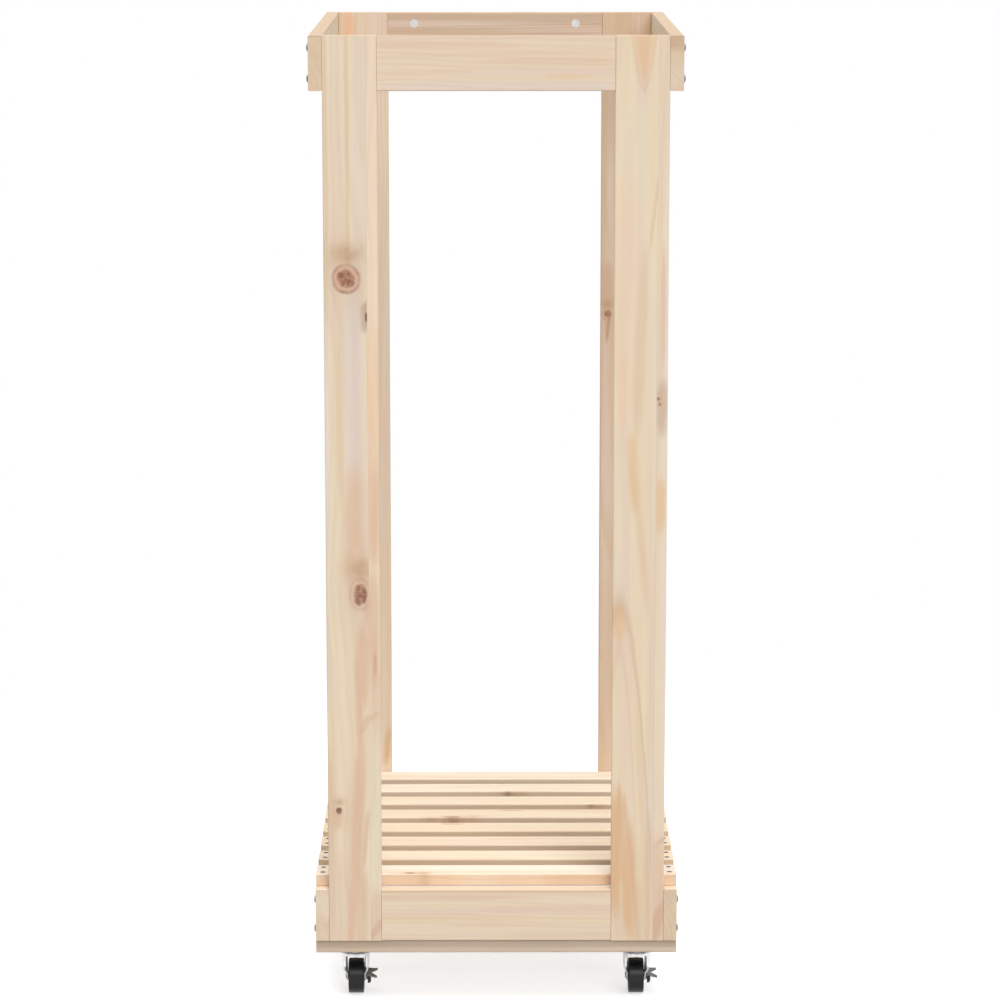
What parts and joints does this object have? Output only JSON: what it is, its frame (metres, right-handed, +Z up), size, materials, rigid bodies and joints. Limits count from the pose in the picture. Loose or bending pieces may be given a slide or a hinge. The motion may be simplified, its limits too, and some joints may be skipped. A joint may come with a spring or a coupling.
{
  "type": "fireside log cart",
  "caption": "Tall open log cart of pine boards with a slatted deck between posts, on swivel casters with side brakes at the front.",
  "frame": {"origin": "on the floor, below the middle of the cart", "axes": "+X to the cart's right, -Y out of its front, +Z up"},
  "size_m": [0.414, 0.49, 1.1],
  "materials": {
    "pine": "planed, unfinished",
    "pine_slat": "planed, unfinished",
    "zinc": "bright zinc plate",
    "steel": "plain steel",
    "pedal_steel": "plated, dull",
    "black_plastic": "moulded, satin",
    "black_rubber": "moulded, satin"
  },
  "bodies": {
    "cart": {"post_front_left": "pine", "post_front_right": "pine", "post_rear_left": "pine", "post_rear_right": "pine", "top_rail_front": "pine", "top_rail_rear": "pine", "bottom_rail_front": "pine", "bottom_rail_rear": "pine", "top_side_board_left": "pine", "top_side_board_right": "pine", "bottom_side_board_left": "pine", "bottom_side_board_right": "pine", "base_board_front": "pine", "base_board_rear": "pine", "slat_1": "pine_slat", "slat_2": "pine_slat", "slat_3": "pine_slat", "slat_4": "pine_slat", "slat_5": "pine_slat", "slat_6": "pine_slat", "slat_7": "pine_slat", "slat_8": "pine_slat", "frame_bolts": "steel", "barrel_nuts": "zinc", "slat_screws": "steel", "base_screws": "steel", "caster_screws": "steel", "kingpins": "steel", "race_balls": "steel", "plate_front_left": "zinc", "plate_front_right": "zinc", "plate_rear_left": "zinc", "plate_rear_right": "zinc"},
    "swivel_front_left": {"fork_front_left": "zinc", "axle_front_left": "steel", "brake_washer_left": "steel"},
    "wheel_front_left": {"wheel_core_front_left": "black_plastic", "tyre_front_left": "black_rubber"},
    "brake_left": {"brake_pedal_left": "pedal_steel", "brake_cam_left": "black_plastic"},
    "swivel_front_right": {"fork_front_right": "zinc", "axle_front_right": "steel", "brake_washer_right": "steel"},
    "wheel_front_right": {"wheel_core_front_right": "black_plastic", "tyre_front_right": "black_rubber"},
    "brake_right": {"brake_pedal_right": "pedal_steel", "brake_cam_right": "black_plastic"},
    "swivel_rear_left": {"fork_rear_left": "zinc", "axle_rear_left": "steel"},
    "wheel_rear_left": {"wheel_core_rear_left": "black_plastic", "tyre_rear_left": "black_rubber"},
    "swivel_rear_right": {"fork_rear_right": "zinc", "axle_rear_right": "steel"},
    "wheel_rear_right": {"wheel_core_rear_right": "black_plastic", "tyre_rear_right": "black_rubber"}
  },
  "joints": [
    {"name": "swivel_front_left_turn", "type": "hinge", "parent": "cart", "child": "swivel_front_left", "pos_m": [-0.161, -0.212, 0.055], "axis": [0, 0, 1], "continuous": true},
    {"name": "wheel_front_left_spin", "type": "hinge", "parent": "swivel_front_left", "child": "wheel_front_left", "pos_m": [-0.161, -0.194, 0.02], "axis": [1, 0, 0], "continuous": true},
    {"name": "brake_left_rock", "type": "hinge", "parent": "swivel_front_left", "child": "brake_left", "pos_m": [-0.161, -0.194, 0.02], "axis": [1, 0, 0], "range_deg": [-15, 15]},
    {"name": "swivel_front_right_turn", "type": "hinge", "parent": "cart", "child": "swivel_front_right", "pos_m": [0.161, -0.212, 0.055], "axis": [0, 0, 1], "continuous": true},
    {"name": "wheel_front_right_spin", "type": "hinge", "parent": "swivel_front_right", "child": "wheel_front_right", "pos_m": [0.161, -0.194, 0.02], "axis": [1, 0, 0], "continuous": true},
    {"name": "brake_right_rock", "type": "hinge", "parent": "swivel_front_right", "child": "brake_right", "pos_m": [0.161, -0.194, 0.02], "axis": [1, 0, 0], "range_deg": [-15, 15]},
    {"name": "swivel_rear_left_turn", "type": "hinge", "parent": "cart", "child": "swivel_rear_left", "pos_m": [-0.161, 0.212, 0.055], "axis": [0, 0, 1], "continuous": true},
    {"name": "wheel_rear_left_spin", "type": "hinge", "parent": "swivel_rear_left", "child": "wheel_rear_left", "pos_m": [-0.161, 0.194, 0.02], "axis": [1, 0, 0], "continuous": true},
    {"name": "swivel_rear_right_turn", "type": "hinge", "parent": "cart", "child": "swivel_rear_right", "pos_m": [0.161, 0.212, 0.055], "axis": [0, 0, 1], "continuous": true},
    {"name": "wheel_rear_right_spin", "type": "hinge", "parent": "swivel_rear_right", "child": "wheel_rear_right", "pos_m": [0.161, 0.194, 0.02], "axis": [1, 0, 0], "continuous": true}
  ]
}
